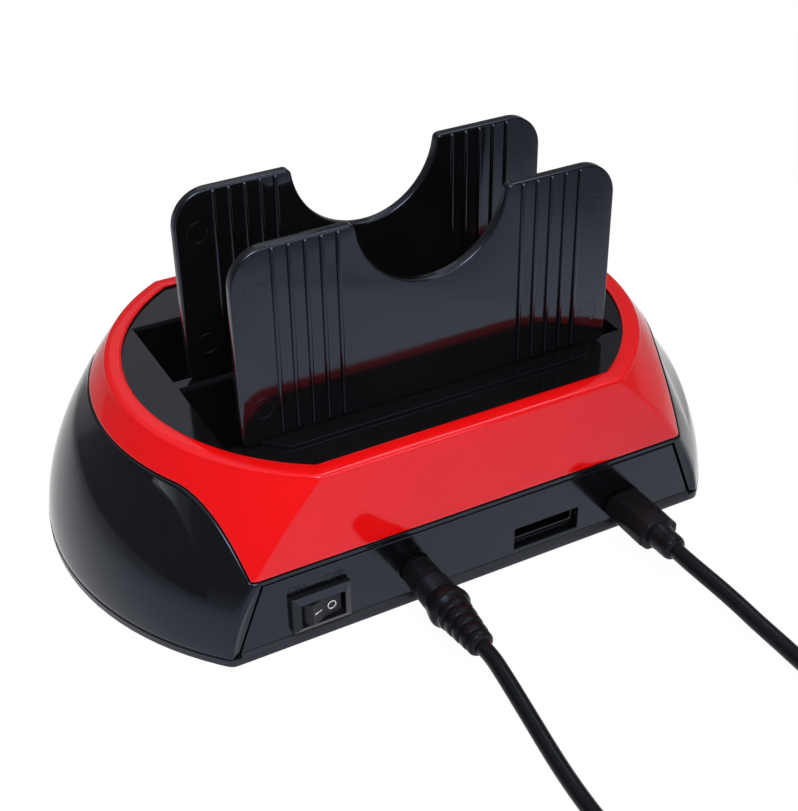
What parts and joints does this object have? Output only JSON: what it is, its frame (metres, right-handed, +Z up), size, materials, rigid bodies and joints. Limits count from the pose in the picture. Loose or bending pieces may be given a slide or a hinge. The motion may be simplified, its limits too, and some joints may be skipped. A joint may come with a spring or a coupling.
{
  "type": "hard drive docking station",
  "caption": "Low domed docking station with a glossy cover ring, deep drive wells, notched lift-out backrests, a rear connector panel with a rocker switch, and plugged-in power and USB leads.",
  "frame": {"origin": "on the floor below the middle of the housing", "axes": "+Z up, the connector panel faces -Y, +X to the right when facing that panel"},
  "size_m": [0.1989, 0.2702, 0.0886],
  "materials": {
    "red_gloss": "bright red, polished",
    "black_gloss": "piano black, polished",
    "charcoal": "fine-grained charcoal",
    "black_satin": "satin black moulding",
    "cord_black": "soft black cord jacket and overmould",
    "foot_rubber": "soft rubber",
    "plated_metal": "nickel plated",
    "board_green": "solder mask",
    "capacitor_sleeve": "shrink sleeve",
    "wire_red": "wire insulation",
    "clear_plastic": "clear light pipe",
    "led_lens": "tinted lens",
    "white_plastic": "white insulator"
  },
  "bodies": {
    "dock": {"base_tray": "black_satin", "body_shell": "black_gloss", "red_cover": "red_gloss", "deck": "black_gloss", "rear_panel": "charcoal", "front_panel": "charcoal", "light_pipes": "clear_plastic", "status_leds": "led_lens", "switch_bezel": "charcoal", "switch_terminals": "plated_metal", "switch_leads": "wire_red", "dc_jack": "black_satin", "dc_jack_pin": "plated_metal", "esata_shell": "plated_metal", "esata_tongue": "black_satin", "usb_shell": "plated_metal", "usb_tongue": "black_satin", "main_board": "board_green", "bridge_chip": "black_satin", "capacitors": "capacitor_sleeve", "sata_receptacle_rear": "black_satin", "sata_receptacle_front": "black_satin", "rubber_feet": "foot_rubber", "housing_screws": "plated_metal", "board_screws": "plated_metal"},
    "rocker": {"switch_rocker": "black_satin"},
    "rear_backrest": {"backrest_rear": "black_gloss"},
    "front_backrest": {"backrest_front": "black_gloss"},
    "power_lead": {"dc_plug_grip": "cord_black", "dc_plug_barrel": "plated_metal", "power_cord": "cord_black", "power_coil": "cord_black", "power_coil_tie": "black_satin", "power_tail": "cord_black", "adapter_case": "black_satin", "adapter_prongs": "plated_metal"},
    "usb_lead": {"usb_plug_grip": "cord_black", "usb_plug_shell": "plated_metal", "usb_cord": "cord_black", "usb_coil": "cord_black", "usb_coil_tie": "black_satin", "usb_tail": "cord_black", "usb_a_grip": "cord_black", "usb_a_shell": "plated_metal", "usb_a_tongue": "white_plastic"}
  },
  "joints": [
    {"name": "switch_press", "type": "hinge", "parent": "dock", "child": "rocker", "pos_m": [-0.0413, -0.0496, 0.009], "axis": [0, 0, -1], "range_deg": [0, 24]},
    {"name": "rear_backrest_lift", "type": "slide", "parent": "dock", "child": "rear_backrest", "axis": [0, 0, 1], "range_m": [0, 0.014]},
    {"name": "front_backrest_lift", "type": "slide", "parent": "dock", "child": "front_backrest", "axis": [0, 0, 1], "range_m": [0, 0.014]},
    {"name": "power_plug_pull", "type": "slide", "parent": "dock", "child": "power_lead", "axis": [0, -1, 0], "range_m": [0, 0.012]},
    {"name": "usb_plug_pull", "type": "slide", "parent": "dock", "child": "usb_lead", "axis": [0, -1, 0], "range_m": [0, 0.009]}
  ]
}
